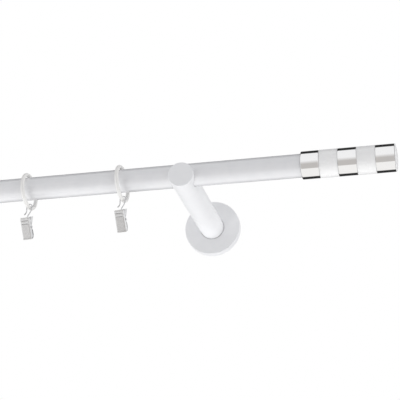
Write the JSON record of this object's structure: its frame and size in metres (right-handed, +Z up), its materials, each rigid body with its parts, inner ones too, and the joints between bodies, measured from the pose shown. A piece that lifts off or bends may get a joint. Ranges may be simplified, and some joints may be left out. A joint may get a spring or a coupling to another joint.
{
  "type": "curtain rod with brackets",
  "caption": "White round curtain rod resting in the open notches of cylinder arms with wall rosettes, chrome and white banded finials, and sliding rings with wire hooks and sprung clips.",
  "frame": {"origin": "centre of the right bracket's wall plate, on the wall", "axes": "+X along the rod, to the right as seen from the room; +Y into the wall; +Z up"},
  "size_m": [0.9992, 0.1756, 0.0857],
  "materials": {
    "white_paint": "satin white powder coat",
    "finial_white": "satin white",
    "core_plastic": "matte",
    "ring_plastic": "soft gloss",
    "chrome": "polished",
    "clip_metal": "satin zinc plated",
    "steel_wire": "bright drawn wire",
    "plated_steel": "zinc plated"
  },
  "bodies": {
    "brackets": {"wall_plate_right": "plated_steel", "arm_stud_right": "plated_steel", "arm_right": "white_paint", "wall_plate_left": "plated_steel", "arm_stud_left": "plated_steel", "arm_left": "white_paint"},
    "rosette_cover_right": {"rosette_right": "white_paint", "rosette_screw_right": "plated_steel"},
    "rosette_cover_left": {"rosette_left": "white_paint", "rosette_screw_left": "plated_steel"},
    "rod": {"rod_tube": "white_paint"},
    "finial_right": {"finial_core_right": "core_plastic", "finial_chrome_band_1_right": "chrome", "finial_white_band_2_right": "finial_white", "finial_chrome_band_3_right": "chrome", "finial_white_band_4_right": "finial_white", "finial_chrome_band_5_right": "chrome", "finial_end_cap_right": "finial_white"},
    "finial_left": {"finial_core_left": "core_plastic", "finial_chrome_band_1_left": "chrome", "finial_white_band_2_left": "finial_white", "finial_chrome_band_3_left": "chrome", "finial_white_band_4_left": "finial_white", "finial_chrome_band_5_left": "chrome", "finial_end_cap_left": "finial_white"},
    "curtain_ring_1": {"ring_1": "ring_plastic"},
    "ring_hook_1": {"hook_1": "steel_wire"},
    "clip_1": {"clip_rear_jaw_1": "clip_metal", "clip_pin_1": "steel_wire", "clip_spring_1": "steel_wire"},
    "clip_front_1": {"clip_front_jaw_1": "clip_metal"},
    "curtain_ring_2": {"ring_2": "ring_plastic"},
    "ring_hook_2": {"hook_2": "steel_wire"},
    "clip_2": {"clip_rear_jaw_2": "clip_metal", "clip_pin_2": "steel_wire", "clip_spring_2": "steel_wire"},
    "clip_front_2": {"clip_front_jaw_2": "clip_metal"},
    "curtain_ring_3": {"ring_3": "ring_plastic"},
    "ring_hook_3": {"hook_3": "steel_wire"},
    "clip_3": {"clip_rear_jaw_3": "clip_metal", "clip_pin_3": "steel_wire", "clip_spring_3": "steel_wire"},
    "clip_front_3": {"clip_front_jaw_3": "clip_metal"},
    "curtain_ring_4": {"ring_4": "ring_plastic"},
    "ring_hook_4": {"hook_4": "steel_wire"},
    "clip_4": {"clip_rear_jaw_4": "clip_metal", "clip_pin_4": "steel_wire", "clip_spring_4": "steel_wire"},
    "clip_front_4": {"clip_front_jaw_4": "clip_metal"},
    "curtain_ring_5": {"ring_5": "ring_plastic"},
    "ring_hook_5": {"hook_5": "steel_wire"},
    "clip_5": {"clip_rear_jaw_5": "clip_metal", "clip_pin_5": "steel_wire", "clip_spring_5": "steel_wire"},
    "clip_front_5": {"clip_front_jaw_5": "clip_metal"}
  },
  "joints": [
    {"name": "rod_lift", "type": "slide", "parent": "brackets", "child": "rod", "axis": [0, 0, 1], "range_m": [0, 0.06]},
    {"name": "rosette_slide_right", "type": "slide", "parent": "brackets", "child": "rosette_cover_right", "axis": [0, -1, 0], "range_m": [0, 0.12]},
    {"name": "finial_pull_right", "type": "slide", "parent": "rod", "child": "finial_right", "axis": [1, 0, 0], "range_m": [0, 0.045]},
    {"name": "rosette_slide_left", "type": "slide", "parent": "brackets", "child": "rosette_cover_left", "axis": [0, -1, 0], "range_m": [0, 0.12]},
    {"name": "finial_pull_left", "type": "slide", "parent": "rod", "child": "finial_left", "axis": [-1, 0, 0], "range_m": [0, 0.045]},
    {"name": "ring_slide_1", "type": "slide", "parent": "rod", "child": "curtain_ring_1", "axis": [1, 0, 0], "range_m": [-0.04, 0.04]},
    {"name": "hook_swing_1", "type": "hinge", "parent": "curtain_ring_1", "child": "ring_hook_1", "pos_m": [-0.06694, -0.155, -0.01667], "axis": [0, 1, 0], "range_deg": [-35, 35]},
    {"name": "clip_swing_1", "type": "hinge", "parent": "ring_hook_1", "child": "clip_1", "pos_m": [-0.06646, -0.15515, -0.03087], "axis": [0.9563, -0.2924, 0], "range_deg": [-20, 20]},
    {"name": "clip_open_1", "type": "hinge", "parent": "clip_1", "child": "clip_front_1", "pos_m": [-0.06751, -0.15675, -0.04032], "axis": [-0.9628, 0.2629, 0.063], "range_deg": [0, 25], "stiffness_Nm_per_rad": 0.2, "springref_deg": -17.19, "deforming": ["clip_spring_1"]},
    {"name": "ring_slide_2", "type": "slide", "parent": "rod", "child": "curtain_ring_2", "axis": [1, 0, 0], "range_m": [-0.04, 0.04]},
    {"name": "hook_swing_2", "type": "hinge", "parent": "curtain_ring_2", "child": "ring_hook_2", "pos_m": [-0.17184, -0.155, -0.01667], "axis": [0, 1, 0], "range_deg": [-35, 35]},
    {"name": "clip_swing_2", "type": "hinge", "parent": "ring_hook_2", "child": "clip_2", "pos_m": [-0.17136, -0.15515, -0.03087], "axis": [0.9563, -0.2924, 0], "range_deg": [-20, 20]},
    {"name": "clip_open_2", "type": "hinge", "parent": "clip_2", "child": "clip_front_2", "pos_m": [-0.17241, -0.15675, -0.04032], "axis": [-0.9628, 0.2629, 0.063], "range_deg": [0, 25], "stiffness_Nm_per_rad": 0.2, "springref_deg": -17.19, "deforming": ["clip_spring_2"]},
    {"name": "ring_slide_3", "type": "slide", "parent": "rod", "child": "curtain_ring_3", "axis": [1, 0, 0], "range_m": [-0.04, 0.04]},
    {"name": "hook_swing_3", "type": "hinge", "parent": "curtain_ring_3", "child": "ring_hook_3", "pos_m": [-0.27294, -0.155, -0.01667], "axis": [0, 1, 0], "range_deg": [-35, 35]},
    {"name": "clip_swing_3", "type": "hinge", "parent": "ring_hook_3", "child": "clip_3", "pos_m": [-0.27246, -0.15515, -0.03087], "axis": [0.9563, -0.2924, 0], "range_deg": [-20, 20]},
    {"name": "clip_open_3", "type": "hinge", "parent": "clip_3", "child": "clip_front_3", "pos_m": [-0.27351, -0.15675, -0.04032], "axis": [-0.9628, 0.2629, 0.063], "range_deg": [0, 25], "stiffness_Nm_per_rad": 0.2, "springref_deg": -17.19, "deforming": ["clip_spring_3"]},
    {"name": "ring_slide_4", "type": "slide", "parent": "rod", "child": "curtain_ring_4", "axis": [1, 0, 0], "range_m": [-0.04, 0.04]},
    {"name": "hook_swing_4", "type": "hinge", "parent": "curtain_ring_4", "child": "ring_hook_4", "pos_m": [-0.37404, -0.155, -0.01667], "axis": [0, 1, 0], "range_deg": [-35, 35]},
    {"name": "clip_swing_4", "type": "hinge", "parent": "ring_hook_4", "child": "clip_4", "pos_m": [-0.37356, -0.15515, -0.03087], "axis": [0.9563, -0.2924, 0], "range_deg": [-20, 20]},
    {"name": "clip_open_4", "type": "hinge", "parent": "clip_4", "child": "clip_front_4", "pos_m": [-0.37461, -0.15675, -0.04032], "axis": [-0.9628, 0.2629, 0.063], "range_deg": [0, 25], "stiffness_Nm_per_rad": 0.2, "springref_deg": -17.19, "deforming": ["clip_spring_4"]},
    {"name": "ring_slide_5", "type": "slide", "parent": "rod", "child": "curtain_ring_5", "axis": [1, 0, 0], "range_m": [-0.04, 0.04]},
    {"name": "hook_swing_5", "type": "hinge", "parent": "curtain_ring_5", "child": "ring_hook_5", "pos_m": [-0.47894, -0.155, -0.01667], "axis": [0, 1, 0], "range_deg": [-35, 35]},
    {"name": "clip_swing_5", "type": "hinge", "parent": "ring_hook_5", "child": "clip_5", "pos_m": [-0.47846, -0.15515, -0.03087], "axis": [0.9563, -0.2924, 0], "range_deg": [-20, 20]},
    {"name": "clip_open_5", "type": "hinge", "parent": "clip_5", "child": "clip_front_5", "pos_m": [-0.47951, -0.15675, -0.04032], "axis": [-0.9628, 0.2629, 0.063], "range_deg": [0, 25], "stiffness_Nm_per_rad": 0.2, "springref_deg": -17.19, "deforming": ["clip_spring_5"]}
  ]
}
